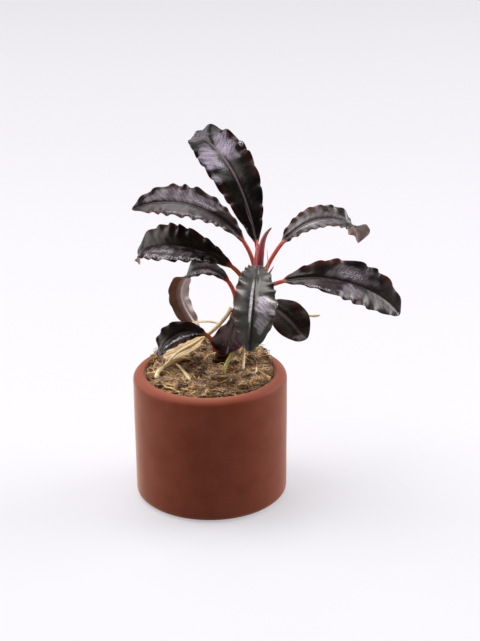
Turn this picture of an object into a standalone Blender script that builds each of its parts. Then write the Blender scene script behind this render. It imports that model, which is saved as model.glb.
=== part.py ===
"""A small bucephalandra on a plug of wool in a terracotta pot.

The pot stands on its foot, with the origin at the middle of its underside and +Z up.
The plant leans to the right (+X) and is seen from the front, which is -Y.
Every leaf follows one curve: it climbs from the rhizome, arches over and droops.
"""

import math
from dataclasses import dataclass

import bmesh
import bpy
from mathutils import Vector

MM = 0.001
GAP = 0.3

# Pot, in millimetres like every size below
POT_TOP_RADIUS = 25.0
POT_FOOT_RADIUS = 24.8
POT_HEIGHT = 42.5
POT_WALL = 4.1
POT_FLOOR = 5.0
RIM_OUTER_FILLET = 2.4
RIM_INNER_FILLET = 1.0
FOOT_FILLET = 2.4
FILLET_STEPS = 4
POT_SIDES = 48

# Wool plug: its edge, the rise at its middle and towards the back, and the mound at the back right
WOOL_RADIUS = POT_TOP_RADIUS - POT_WALL - GAP
WOOL_EDGE_HEIGHT = 40.8
WOOL_CROWN = 1.2
BACK_RISE = 2.6
BACK_START = 3.0
MOUND_PLACE = (14.0, 9.0)
MOUND_HEIGHT = 1.8
MOUND_SPREAD = 4.0
WOOL_SIDES = 32
WOOL_RINGS = 5

# Rhizome: the three points of its bend, and its radius at the foot and at the growing end
RHIZOME_BEND = ((3.0, 3.0, 43.0), (8.5, 4.0, 61.0), (16.0, 5.0, 75.0))
RHIZOME_RADII = (2.4, 1.7)
RHIZOME_STEPS = 12

# Leaves: what all of them share
PETIOLE_RADIUS = 0.7
BLADE_THICKNESS = 0.5
MIDRIB_DEPTH = 0.45
MARGIN_RISE = 15.0
MARGIN_WAVE_LENGTH = 4.8
MARGIN_WAVE_HEIGHT = 0.9
HOOK_START = 0.75
SWELL_PLACE = 0.9
SWELL_SPREAD = 0.06
TWIST_SHARE = 0.2
OPENING = 1.5
LINE_STEP = 0.5
PETIOLE_RINGS = 4
TIP_SHARE = 0.985

# Eight places round a leaf's section: share of the half width, and upper face, margin or lower face
SECTION = ((-1, 0), (-0.6, 1), (0, 1), (0.6, 1), (1, 0), (0.6, -1), (0, -1), (-0.6, -1))
ROUND_SHARE = math.sqrt(0.5)


@dataclass(frozen=True)
class Leaf:
    """Driving dimensions of one leaf; lengths in millimetres, angles in degrees."""

    name: str
    joins: float          # share of the rhizome's length where the petiole springs
    springs: float        # side of the rhizome it springs from, turned from +X towards +Y
    heading: float        # direction it leaves in, turned from +X towards +Y
    climb: float          # slope of the petiole's foot
    arch: float           # how far it bends down by its tip
    bend: float           # under 1 the bend comes early, over 1 late
    sweep: float          # how far it turns sideways by its tip
    hook: float           # extra bend over the last quarter of the blade
    petiole: float
    blade: float
    width: float
    roll: tuple           # turn about its own length at the blade's foot and tip
    broadest: float       # exponent that moves the broadest place towards the tip
    taper: float = 0.75   # under 1 the blade is fuller at both ends
    colour: tuple = (0.020, 0.018, 0.020)
    stalk: float = PETIOLE_RADIUS
    wave: float = MARGIN_WAVE_HEIGHT
    rise: float = MARGIN_RISE
    twist: float = 0.0    # extra turn about its own length over a fifth of the blade
    twist_from: float = 0.7
    swell: float = 0.0    # extra share of width near the tip


LEAVES = (
    Leaf("leaf_top", joins=0.97, springs=66, heading=116, climb=75, arch=79, bend=1.28, sweep=12,
         hook=27, petiole=8.0, blade=52.5, width=15.4, roll=(19, 29), broadest=1.25, taper=0.65),
    Leaf("leaf_upper_left", joins=0.97, springs=108, heading=165, climb=87, arch=109, bend=0.79,
         sweep=11, hook=4, petiole=8.5, blade=42.5, width=12.1, roll=(29, 41), broadest=1.32),
    Leaf("leaf_middle_left", joins=0.87, springs=170, heading=174, climb=76, arch=107, bend=0.51,
         sweep=-41, hook=77, petiole=4.2, blade=43.5, width=13.4, roll=(57, 34), broadest=1.42),
    Leaf("leaf_curled_left", joins=0.65, springs=142, heading=143, climb=78, arch=248, bend=1.03,
         sweep=28, hook=-49, petiole=5.3, blade=40.0, width=7.6, roll=(46, 36), broadest=1.35,
         taper=0.5, twist=-84, twist_from=0.36),
    Leaf("leaf_lower_left", joins=0.16, springs=205, heading=214, climb=88, arch=184, bend=0.92,
         sweep=-47, hook=15, petiole=6.0, blade=23.8, width=9.0, roll=(64, 11), broadest=1.35),
    Leaf("leaf_front", joins=0.85, springs=-82, heading=-81, climb=69, arch=152, bend=0.96,
         sweep=-24, hook=-11, petiole=14.2, blade=39.7, width=13.2, roll=(4, 34), broadest=1.62,
         taper=0.65),
    Leaf("leaf_front_low", joins=0.57, springs=-95, heading=-106, climb=30, arch=82, bend=0.43,
         sweep=-1, hook=0, petiole=3.0, blade=15.1, width=11.2, roll=(-1, -11), broadest=2.38,
         taper=0.45, wave=0.3, rise=6.0),
    Leaf("leaf_upper_right", joins=0.94, springs=24, heading=38, climb=58, arch=122, bend=1.46,
         sweep=-26, hook=45, petiole=11.6, blade=35.0, width=9.4, roll=(-19, -41), broadest=0.92,
         twist=90, swell=1.2),
    Leaf("leaf_middle_right", joins=0.75, springs=-3, heading=-2, climb=36, arch=86, bend=0.8,
         sweep=19, hook=8, petiole=8.9, blade=44.4, width=13.9, roll=(-33, -68), broadest=1.18,
         taper=0.62),
    Leaf("leaf_lower_right", joins=0.65, springs=-35, heading=-37, climb=46, arch=85, bend=0.42,
         sweep=-14, hook=-30, petiole=6.8, blade=19.3, width=11.2, roll=(-34, -46), broadest=1.16,
         taper=0.55, wave=0.25, rise=8.0),
    Leaf("withered_leaf", joins=0.57, springs=165, heading=178, climb=-64, arch=-50, bend=0.8,
         sweep=10, hook=0, petiole=12.5, blade=16.0, width=7.8, roll=(12, 20), broadest=1.1,
         taper=0.5, stalk=0.55, colour=(0.55, 0.42, 0.22), wave=0.2, rise=10.0),
)


@dataclass(frozen=True)
class Strand:
    """A shoot or a root: a round strand through a few places, from one radius to another."""

    name: str
    places: tuple
    radii: tuple
    colour: tuple


CRIMSON = (0.25, 0.02, 0.03)
PALE_ROOT = (0.55, 0.42, 0.24)
GREEN_ROOT = (0.30, 0.26, 0.05)

STRANDS = (
    Strand("shoot_rolled_leaf", ((16.3, 5.0, 76.0), (16.6, 5.1, 80.0), (17.3, 5.2, 84.5),
                                 (18.6, 5.2, 87.6), (20.2, 5.0, 89.6)), (1.2, 0.12), CRIMSON),
    Strand("shoot_pink_blade", ((14.7, 2.6, 75.4), (14.9, 2.4, 79.0), (15.6, 2.3, 86.6)),
           (0.6, 0.12), (0.55, 0.15, 0.14)),
    Strand("shoot_pale_spike", ((18.6, 4.0, 75.6), (18.9, 3.9, 78.5), (18.6, 3.8, 83.0)),
           (0.35, 0.1), (0.6, 0.35, 0.25)),
    Strand("shoot_dark_bract", ((18.3, 2.3, 73.6), (19.3, 1.9, 75.2), (20.9, 1.6, 77.9)),
           (0.65, 0.12), (0.12, 0.02, 0.03)),
    Strand("withered_strip", ((3.7, 6.9, 54.8), (2.9, 11.4, 54.1), (0.4, 13.4, 54.1), (-3.0, 12.6, 54.5),
                              (-5.6, 9.9, 54.9), (-4.2, 7.2, 54.7), (-2.0, 5.2, 53.9)),
           (0.5, 0.4), PALE_ROOT),
    Strand("root_thick", ((-6.4, 5.6, 44.2), (-9.2, 4.6, 44.6), (-12.4, 2.6, 44.1),
                          (-15.6, -0.6, 43.5), (-16.9, -3.4, 43.0), (-17.0, -6.2, 42.6)),
           (0.62, 0.8), PALE_ROOT),
    Strand("root_slender", ((-10.9, 1.6, 42.9), (-10.2, 0.1, 43.2), (-9.4, -1.7, 43.3),
                            (-7.6, -6.6, 43.1), (-6.3, -9.9, 42.8)), (0.4, 0.45), PALE_ROOT),
    Strand("root_green", ((7.5, 0.5, 51.5), (7.2, -0.2, 48.6), (6.0, -1.6, 46.8), (4.9, -3.5, 45.0),
                          (4.3, -5.4, 43.1)), (0.6, 0.65), GREEN_ROOT),
    Strand("root_right", ((10.7, 3.4, 55.0), (10.9, 3.6, 51.5), (11.0, 2.6, 47.5), (10.9, 0.8, 45.2),
                          (10.7, -1.8, 43.2)), (0.45, 0.5), PALE_ROOT),
    Strand("root_arc", ((6.2, 1.2, 42.9), (7.6, -1.9, 43.3), (9.4, -1.3, 43.4), (9.7, 1.6, 43.6)),
           (0.28, 0.25), (0.5, 0.25, 0.1)),
    Strand("root_hook", ((12.0, -1.7, 43.0), (13.5, -5.3, 42.8), (14.9, -4.4, 43.2), (15.0, -0.9, 43.4)),
           (0.3, 0.25), (0.65, 0.6, 0.45)),
)


def material(name, colour, roughness):
    """A plain Principled material."""
    made = bpy.data.materials.new(name)
    made.use_nodes = True
    shader = made.node_tree.nodes["Principled BSDF"]
    shader.inputs["Base Color"].default_value = (*colour, 1.0)
    shader.inputs["Roughness"].default_value = roughness
    shader.inputs["Metallic"].default_value = 0.0
    return made


def place(name, data, colour, roughness):
    """Put mesh or curve data in the scene under its own name and material."""
    data.materials.append(material(name, colour, roughness))
    made = bpy.data.objects.new(name, data)
    bpy.context.collection.objects.link(made)
    return made


def scaled(point):
    """A place in millimetres as Blender's metres."""
    return Vector(point) * MM


def skin(name, rings):
    """One closed mesh through rings of points, each ring bridged to the next and both ends capped."""
    form = bmesh.new()
    loops = [[form.verts.new(scaled(point)) for point in ring] for ring in rings]
    sides = len(loops[0])
    for lower, upper in zip(loops, loops[1:]):
        for i in range(sides):
            j = (i + 1) % sides
            form.faces.new((lower[i], lower[j], upper[j], upper[i]))
    form.faces.new(list(reversed(loops[0])))
    form.faces.new(loops[-1])
    bmesh.ops.recalc_face_normals(form, faces=form.faces)
    mesh = bpy.data.meshes.new(name)
    form.to_mesh(mesh)
    form.free()
    mesh.shade_smooth()
    mesh.set_sharp_from_angle(angle=math.radians(40))
    return mesh


def fillet(centre, radius, start, end):
    """Points (radius, height) round a quarter turn between two angles in degrees."""
    angles = [math.radians(start + (end - start) * i / FILLET_STEPS) for i in range(FILLET_STEPS + 1)]
    return [(centre[0] + radius * math.cos(a), centre[1] + radius * math.sin(a)) for a in angles]


def pot_profile():
    """The pot's section from the inner floor up over the rim and down to the foot."""
    inner = POT_TOP_RADIUS - POT_WALL
    return (
        [(inner, POT_FLOOR)]
        + fillet((inner + RIM_INNER_FILLET, POT_HEIGHT - RIM_INNER_FILLET), RIM_INNER_FILLET, 180, 90)
        + fillet((POT_TOP_RADIUS - RIM_OUTER_FILLET, POT_HEIGHT - RIM_OUTER_FILLET), RIM_OUTER_FILLET, 90, 0)
        + fillet((POT_FOOT_RADIUS - FOOT_FILLET, FOOT_FILLET), FOOT_FILLET, 0, -90)
    )


def circle(radius, height, sides):
    """Points round a level circle."""
    turns = [2 * math.pi * i / sides for i in range(sides)]
    return [(radius * math.cos(a), radius * math.sin(a), height) for a in turns]


def make_pot():
    """The pot as a turned section with a flat underside."""
    rings = [circle(radius, height, POT_SIDES) for radius, height in pot_profile()]
    return place("pot", skin("pot", rings), (0.35, 0.13, 0.08), 0.75)


def wool_height(x, y):
    """Height of the wool's top over the pot's foot."""
    away = (x * x + y * y) / WOOL_RADIUS ** 2
    from_mound = (x - MOUND_PLACE[0]) ** 2 + (y - MOUND_PLACE[1]) ** 2
    mound = MOUND_HEIGHT * math.exp(-from_mound / (2 * MOUND_SPREAD ** 2))
    back = BACK_RISE * (max(0.0, y - BACK_START) / (WOOL_RADIUS - BACK_START)) ** 1.5
    return WOOL_EDGE_HEIGHT + WOOL_CROWN * (1 - away) + mound + back


def make_wool():
    """The plug of wool: a straight side up to an uneven, slightly domed top."""
    rings = [circle(WOOL_RADIUS, POT_FLOOR + GAP, WOOL_SIDES)]
    for step in range(WOOL_RINGS):
        flat = circle(WOOL_RADIUS * (1 - step / WOOL_RINGS), 0.0, WOOL_SIDES)
        rings.append([(x, y, wool_height(x, y)) for x, y, _ in flat])
    return place("wool_plug", skin("wool_plug", rings), (0.30, 0.22, 0.12), 0.95)


def rhizome_place(share):
    """Place on the rhizome's centre line at a share of the way up its bend."""
    foot, knee, end = (Vector(point) for point in RHIZOME_BEND)
    return foot * (1 - share) ** 2 + knee * 2 * share * (1 - share) + end * share ** 2


def rhizome_radius(share):
    """Radius of the rhizome at a share of the way up."""
    return RHIZOME_RADII[0] + (RHIZOME_RADII[1] - RHIZOME_RADII[0]) * share


def rod(name, places, radii, colour, roughness, roundness=1):
    """A round rod through places, as a curve with a bevel and capped ends."""
    curve = bpy.data.curves.new(name, "CURVE")
    curve.dimensions = "3D"
    curve.bevel_depth = MM
    curve.bevel_resolution = roundness
    curve.use_fill_caps = True
    line = curve.splines.new("POLY")
    line.points.add(len(places) - 1)
    for point, spot, radius in zip(line.points, places, radii):
        point.co = (*scaled(spot), 1.0)
        point.radius = radius
    return place(name, curve, colour, roughness)


def make_rhizome():
    """The creeping stem, bent up from the wool to the growing end."""
    shares = [i / RHIZOME_STEPS for i in range(RHIZOME_STEPS + 1)]
    places = [rhizome_place(share) for share in shares]
    radii = [rhizome_radius(share) for share in shares]
    return rod("rhizome", places, radii, (0.03, 0.015, 0.012), 0.6, roundness=2)


def smooth_path(places, steps=3):
    """Places along a smooth Catmull-Rom curve through the given ones."""
    spots = [Vector(spot) for spot in places]
    padded = [2 * spots[0] - spots[1], *spots, 2 * spots[-1] - spots[-2]]
    path = []
    for before, start, end, after in zip(padded, padded[1:], padded[2:], padded[3:]):
        for i in range(steps):
            t = i / steps
            path.append(0.5 * (2 * start + (end - before) * t
                               + (2 * before - 5 * start + 4 * end - after) * t ** 2
                               + (3 * start - before - 3 * end + after) * t ** 3))
    return path + [spots[-1]]


def make_strand(strand):
    """A shoot or a root as a tapering rod."""
    path = smooth_path(strand.places)
    last = len(path) - 1
    radii = [strand.radii[0] + (strand.radii[1] - strand.radii[0]) * i / last for i in range(last + 1)]
    return rod(strand.name, path, radii, strand.colour, 0.5)


def leaf_slope(leaf, share):
    """Slope and heading in radians at a share of the whole leaf, foot to tip."""
    length = leaf.petiole + leaf.blade
    blade_share = (share * length - leaf.petiole) / leaf.blade
    hooked = min(max((blade_share - HOOK_START) / (1 - HOOK_START), 0.0), 1.0)
    slope = leaf.climb - leaf.arch * share ** leaf.bend - leaf.hook * hooked * (1 + hooked) / 2
    return math.radians(slope), math.radians(leaf.heading + leaf.sweep * share)


def leaf_frame(leaf, share):
    """Direction along the leaf, to its right and out of its upper face, before any roll."""
    slope, heading = leaf_slope(leaf, share)
    level = math.cos(slope)
    along = Vector((level * math.cos(heading), level * math.sin(heading), math.sin(slope)))
    right = Vector((math.sin(heading), -math.cos(heading), 0.0))
    return along, right, right.cross(along)


def leaf_midrib(leaf, shares):
    """Places of the midrib at each share, summed from the foot on the rhizome's side."""
    side = math.radians(leaf.springs)
    reach = rhizome_radius(leaf.joins) + leaf.stalk + GAP
    spot = rhizome_place(leaf.joins) + Vector((math.cos(side), math.sin(side), 0.0)) * reach
    length = leaf.petiole + leaf.blade
    places = [spot.copy()]
    for start, end in zip(shares, shares[1:]):
        steps = max(1, round((end - start) * length / LINE_STEP))
        for i in range(steps):
            middle = start + (end - start) * (i + 0.5) / steps
            spot = spot + leaf_frame(leaf, middle)[0] * ((end - start) * length / steps)
        places.append(spot.copy())
    return places


def half_width(leaf, t):
    """Half the blade's width at a share of the blade."""
    swollen = 1 + leaf.swell * math.exp(-((t - SWELL_PLACE) / SWELL_SPREAD) ** 2)
    return leaf.width / 2 * swollen * math.sin(math.pi * t ** leaf.broadest) ** leaf.taper


def leaf_roll(leaf, t):
    """Turn of the blade about its own length at a share of the blade, in radians."""
    late = min(1.0, max(0.0, (t - leaf.twist_from) / TWIST_SHARE))
    twist = leaf.twist * late * late * (3 - 2 * late)
    return math.radians(leaf.roll[0] + (leaf.roll[1] - leaf.roll[0]) * t + twist)


def leaf_ring(leaf, spot, share, t):
    """Eight points round the leaf at one place, a round petiole that opens into a thin waved blade."""
    _, right, up = leaf_frame(leaf, share)
    roll = leaf_roll(leaf, max(t, 0.0))
    side = right * math.cos(roll) + up * math.sin(roll)
    out = up * math.cos(roll) - right * math.sin(roll)
    half = max(half_width(leaf, t), leaf.stalk) if t > 0 else leaf.stalk
    opened = min(1.0, max(0.0, (half - leaf.stalk) / OPENING))
    travelled = t * leaf.blade / MARGIN_WAVE_LENGTH
    points = []
    for across, lift in SECTION:
        phase = 2 * math.pi * (travelled + (0.25 if across > 0 else 0.0))
        waved = leaf.wave * opened * abs(across) ** 2.5 * math.sin(phase)
        risen = opened * abs(across) * half * math.tan(math.radians(leaf.rise))
        ridge = MIDRIB_DEPTH if (across == 0 and lift < 0) else 0.0
        flat = lift * BLADE_THICKNESS / 2 - ridge
        diagonal = across != 0 and lift != 0
        round_across = math.copysign(ROUND_SHARE, across) if diagonal else across
        round_lift = lift * (ROUND_SHARE if diagonal else 1.0) * leaf.stalk
        sideways = (round_across * (1 - opened) + across * opened) * half
        upwards = round_lift * (1 - opened) + flat * opened + waved + risen
        points.append(spot + side * sideways + out * upwards)
    return points


def make_leaf(leaf):
    """One leaf with its petiole, in sections a quarter of a margin wave apart."""
    length = leaf.petiole + leaf.blade
    blade_rings = round(leaf.blade * TIP_SHARE / (MARGIN_WAVE_LENGTH / 4))
    shares = [leaf.petiole / length * i / PETIOLE_RINGS for i in range(PETIOLE_RINGS)]
    along_blade = [TIP_SHARE * i / blade_rings for i in range(blade_rings + 1)]
    shares += [(leaf.petiole + leaf.blade * t) / length for t in along_blade]
    blade_shares = [-1.0] * PETIOLE_RINGS + along_blade
    spots = leaf_midrib(leaf, shares)
    rings = [leaf_ring(leaf, spot, share, t) for spot, share, t in zip(spots, shares, blade_shares)]
    return place(leaf.name, skin(leaf.name, rings), leaf.colour, 0.3)


def main():
    """Clear the scene and build the pot, the wool and the plant."""
    for existing in list(bpy.data.objects):
        bpy.data.objects.remove(existing)
    make_pot()
    make_wool()
    make_rhizome()
    for leaf in LEAVES:
        make_leaf(leaf)
    for strand in STRANDS:
        make_strand(strand)


main()
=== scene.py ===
"""Looks of a small bucephalandra on a plug of wool in a terracotta pot.

Long dark leaves with ruffled margins stand on red stalks round a creeping stem. Every leaf is one
thin skin, shaped from the same few sizes as its solid, and carries the marks that its finish reads.
"""

import logging
from dataclasses import dataclass
from enum import Enum
from math import cos, exp, hypot, pi, radians, sin, sqrt, tan

import bpy
import numpy as np
from bpy.types import ID, Material, Node, NodeSocket, NodeTree, Object, bpy_prop_collection
from mathutils import Matrix, Vector, noise


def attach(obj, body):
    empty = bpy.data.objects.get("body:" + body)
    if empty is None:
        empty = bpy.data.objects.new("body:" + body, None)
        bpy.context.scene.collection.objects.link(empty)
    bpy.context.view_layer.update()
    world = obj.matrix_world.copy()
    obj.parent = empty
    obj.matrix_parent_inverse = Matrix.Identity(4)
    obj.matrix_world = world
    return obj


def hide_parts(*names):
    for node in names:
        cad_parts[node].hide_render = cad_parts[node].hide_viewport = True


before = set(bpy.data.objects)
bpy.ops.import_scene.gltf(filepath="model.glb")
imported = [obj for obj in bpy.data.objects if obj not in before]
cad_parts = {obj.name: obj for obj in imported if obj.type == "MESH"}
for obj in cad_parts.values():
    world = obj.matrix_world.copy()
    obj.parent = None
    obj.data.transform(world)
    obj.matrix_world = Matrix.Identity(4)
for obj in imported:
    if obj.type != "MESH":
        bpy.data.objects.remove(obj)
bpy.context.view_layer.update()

Pair = tuple[float, float]
Triple = tuple[float, float, float]

MM = 0.001
BODY = "root"

# Sockets of a Mix node that blends colours
FACTOR, COLOUR_A, COLOUR_B = 0, 6, 7
# A Wave texture has this many bands to a unit of length at scale 1
WAVE_BANDS = 20 / (2 * pi)

log = logging.getLogger("bucephalandra")


class Slot(Enum):
    """Material slots of the record."""

    TERRACOTTA = "terracotta"
    WOOL = "wool"
    RHIZOME = "rhizome"
    LEAF = "leaf"
    WITHERED = "withered"
    SHOOT = "shoot"
    ROOT = "root"


def linear(colour: str) -> tuple[float, float, float, float]:
    """Turn an sRGB hex colour into linear light.

    Args:
        colour: six hex digits after a hash.

    Returns:
        Red, green, blue and a full alpha.
    """
    parts = [int(colour[i:i + 2], 16) / 255 for i in (1, 3, 5)]
    light = [c / 12.92 if c <= 0.04045 else ((c + 0.055) / 1.055) ** 2.4 for c in parts]
    return (*light, 1.0)


def held(value: float) -> float:
    """Keep a value between 0 and 1."""
    return min(1.0, max(0.0, value))


def feed(tree: NodeTree, node: Node, inputs: dict | tuple) -> None:
    """Give a node's inputs their values and links.

    Args:
        tree: the tree that the node is in.
        node: the node.
        inputs: by name or place, or as a row for the first inputs: a value, a hex colour, the socket
            that feeds the input, or the node whose first live output does.
    """
    for key, value in inputs.items() if isinstance(inputs, dict) else enumerate(inputs):
        if isinstance(value, Node):
            value = next(socket for socket in value.outputs if socket.enabled)
        if isinstance(value, NodeSocket):
            tree.links.new(value, node.inputs[key])
        else:
            node.inputs[key].default_value = linear(value) if str(value).startswith("#") else value


def add(tree: NodeTree, kind: str, inputs: dict | tuple = (), **settings) -> Node:
    """Add one node with its settings, values and links.

    Args:
        tree: the tree that gets the node.
        kind: the node's type, for a shader node without its prefix.
        inputs: what its inputs get, as in feed.
        **settings: the node's own properties.

    Returns:
        The new node.
    """
    node = tree.nodes.new(kind if "Node" in kind else "ShaderNode" + kind)
    for name, value in settings.items():
        setattr(node, name, value)
    feed(tree, node, inputs)
    return node


def plain_material(name: str) -> tuple[Material, NodeTree, Node]:
    """Start a material.

    Args:
        name: what the material is.

    Returns:
        The material, its tree and its shader.
    """
    made = bpy.data.materials.new(name)
    made.use_nodes = True
    return made, made.node_tree, made.node_tree.nodes["Principled BSDF"]


def settle(piece: Object, slot: Slot, replaced: tuple[str, ...] = ()) -> Object:
    """Put a finished piece on the body and say what it stands for.

    Args:
        piece: the piece, in place.
        slot: the record's slot that it takes its finish from.
        replaced: CAD nodes that it replaces.

    Returns:
        The same piece.
    """
    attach(piece, BODY)
    if replaced:
        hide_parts(*replaced)
    log.info("%s: %d faces, %s", piece.name, len(piece.data.polygons), slot.value)
    return piece


def linked(name: str, data: ID) -> Object:
    """Return a new object that holds the data, linked to the scene."""
    made = bpy.data.objects.new(name, data)
    bpy.context.scene.collection.objects.link(made)
    return made


def mesh_object(name: str, points: np.ndarray, faces: list, material: Material) -> Object:
    """Make a smooth mesh piece from points in millimetres.

    Args:
        name: the piece's name.
        points: one row for each point.
        faces: point numbers round each face.
        material: its finish.

    Returns:
        The piece, linked to the scene.
    """
    mesh = bpy.data.meshes.new(name)
    mesh.from_pydata((np.asarray(points) * MM).tolist(), [], faces)
    mesh.materials.append(material)
    mesh.shade_smooth()
    return linked(name, mesh)


def tube_faces(rings: int, sides: int) -> list[tuple[int, ...]]:
    """Faces of a closed tube whose rings follow each other, with both ends capped.

    Args:
        rings: how many rings.
        sides: how many points in each.

    Returns:
        The faces, pointing outwards where the rings turn left-handed along the tube.
    """
    faces = []
    for ring in range(rings - 1):
        for i in range(sides):
            j = (i + 1) % sides
            low, high = ring * sides, (ring + 1) * sides
            faces.append((low + i, low + j, high + j, high + i))
    faces.append(tuple(reversed(range(sides))))
    faces.append(tuple(range((rings - 1) * sides, rings * sides)))
    return faces


def give_attribute(piece: Object, name: str, values: np.ndarray) -> None:
    """Store one vector for each point of a mesh.

    Args:
        piece: the mesh piece.
        name: the attribute's name, which its finish reads.
        values: three columns, one row for each point.
    """
    made = piece.data.attributes.new(name, "FLOAT_VECTOR", "POINT")
    made.data.foreach_set("vector", np.asarray(values, dtype=np.float32).ravel())


@dataclass(frozen=True)
class FiredClay:
    """Terracotta: red clay, turned and fired without a glaze. It gives a matt, dusty, finely pitted skin,
    with a painted highlight along the top of its rim.
    """

    body: str = "#6a2b14"
    pale: str = "#743621"
    dark: str = "#572210"
    dust: str = "#fddcc0"
    # painted highlight: the paler colour of the rim's top, where the top lamp lights it
    rim_highlight: str = "#8a4634"
    speck: str = "#1c0d0a"
    rim_mm: Pair = (40.9, 42.3)
    speck_place: Triple = (-23.5, -8.5, 35.9)
    speck_mm: float = 0.35
    grit_mm: float = 0.35
    cloud_mm: float = 9.0
    turning_mm: float = 1.1

    def build(self) -> Material:
        """Return the material, patterned on Object coordinates."""
        made, tree, shader = plain_material("fired_terracotta")
        where = add(tree, "TexCoord").outputs["Object"]
        cloud = add(tree, "TexNoise", {"Vector": where, "Scale": 1 / (self.cloud_mm * MM), "Detail": 6.0,
            "Roughness": 0.62})
        grit = add(tree, "TexNoise", {"Vector": where, "Scale": 1 / (self.grit_mm * MM), "Detail": 3.0,
            "Roughness": 0.7})
        rings = add(tree, "TexWave", {"Vector": where, "Distortion": 2.5,
            "Scale": 1 / (self.turning_mm * MM * WAVE_BANDS), "Detail Scale": 0.4},
            bands_direction="Z").outputs["Fac"]
        patches = add(tree, "MapRange", (cloud, 0.35, 0.68))
        pits = add(tree, "MapRange", (grit, 0.62, 0.74))
        height_up = add(tree, "SeparateXYZ", (where,)).outputs
        # Painted highlight: between these heights the rim's top is mixed towards the paler colour
        rim_lit = add(tree, "MapRange", (height_up["Z"], self.rim_mm[0] * MM, self.rim_mm[1] * MM, 0.0, 0.7))
        away = add(tree, "VectorMath", (where, tuple(mm * MM for mm in self.speck_place)),
            operation="DISTANCE")
        speck = add(tree, "MapRange", (away, self.speck_mm * MM, 1.6 * self.speck_mm * MM, 0.9, 0.0))
        clay = self.body
        layers = ((patches, self.pale), (rim_lit, self.rim_highlight), (pits, self.dark), (speck, self.speck))
        for share, colour in layers:
            clay = add(tree, "Mix", {FACTOR: share, COLOUR_A: clay, COLOUR_B: colour}, data_type="RGBA")
        height = add(tree, "Math", (rings, grit), operation="ADD")
        bump = add(tree, "Bump", {"Height": height, "Strength": 0.35, "Distance": 0.05 * MM})
        feed(tree, shader, {"Base Color": clay, "Normal": bump, "Roughness": 0.6,
            "Specular IOR Level": 0.16, "Sheen Weight": 0.75, "Sheen Roughness": 0.3,
            "Sheen Tint": self.dust})
        return made


@dataclass(frozen=True)
class PackedWool:
    """Mineral wool and moss, pressed into the pot and wet: a dark, streaky, matted ground."""

    deep: str = "#3b281b"
    brown: str = "#84644a"
    streak_mm: float = 1.2

    def build(self) -> Material:
        """Return the material, patterned on Object coordinates."""
        made, tree, shader = plain_material("packed_wool")
        where = add(tree, "TexCoord").outputs["Object"]
        streaks = add(tree, "TexNoise", {"Vector": where, "Scale": 1 / (self.streak_mm * MM), "Detail": 6.0,
            "Roughness": 0.7, "Distortion": 1.6})
        spread = add(tree, "MapRange", (streaks, 0.38, 0.66))
        colour = add(tree, "Mix", {FACTOR: spread, COLOUR_A: self.deep, COLOUR_B: self.brown},
            data_type="RGBA")
        bump = add(tree, "Bump", {"Height": streaks, "Strength": 0.9, "Distance": 0.4 * MM})
        feed(tree, shader, {"Base Color": colour, "Normal": bump, "Roughness": 0.8})
        return made


@dataclass(frozen=True)
class WoolFibre:
    """A drawn mineral or moss fibre, damp: a thin satin thread, each one a little lighter or darker, and
    darker near the front middle under the front leaf, partly painted shade and partly the wool's own tone.
    """

    name: str
    dark: str
    light: str
    tuft_mm: float = 3.5
    # Partly painted shade: fibres darken towards this place under the front leaf, together with the wool's
    # own darker tone there
    shade_and_tone_place: Triple = (3.0, -12.0, 42.0)
    shade_and_tone_reach: Pair = (3.0, 11.0)
    roughness: float = 0.5

    def build(self) -> Material:
        """Return the material, whose shade is the fibre's own number."""
        made, tree, shader = plain_material(self.name)
        own = add(tree, "Attribute", attribute_name="shade")
        where = add(tree, "TexCoord").outputs["Object"]
        tufts = add(tree, "TexNoise", {"Vector": where, "Scale": 1 / (self.tuft_mm * MM), "Detail": 3.0,
            "Roughness": 0.6})
        lit = add(tree, "MapRange", (tufts, 0.35, 0.65, -0.5, 0.7))
        both = add(tree, "Math", (own.outputs["Fac"], 0.6, lit), operation="MULTIPLY_ADD", use_clamp=True)
        away = add(tree, "VectorMath", (where, tuple(mm * MM for mm in self.shade_and_tone_place)),
            operation="DISTANCE")
        # Partly painted shade: near the front middle, under the front leaf, the fibres' colour is pulled
        # down to 0.45, also for the wool's own darker tone
        shade_and_tone = add(tree, "MapRange", (away, self.shade_and_tone_reach[0] * MM, self.shade_and_tone_reach[1] * MM, 0.45))
        lifted = add(tree, "Math", (both, shade_and_tone), operation="MULTIPLY")
        colour = add(tree, "Mix", {FACTOR: lifted, COLOUR_A: self.dark, COLOUR_B: self.light},
            data_type="RGBA")
        feed(tree, shader, {"Base Color": colour, "Roughness": self.roughness, "Specular IOR Level": 0.4})
        return made


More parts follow.
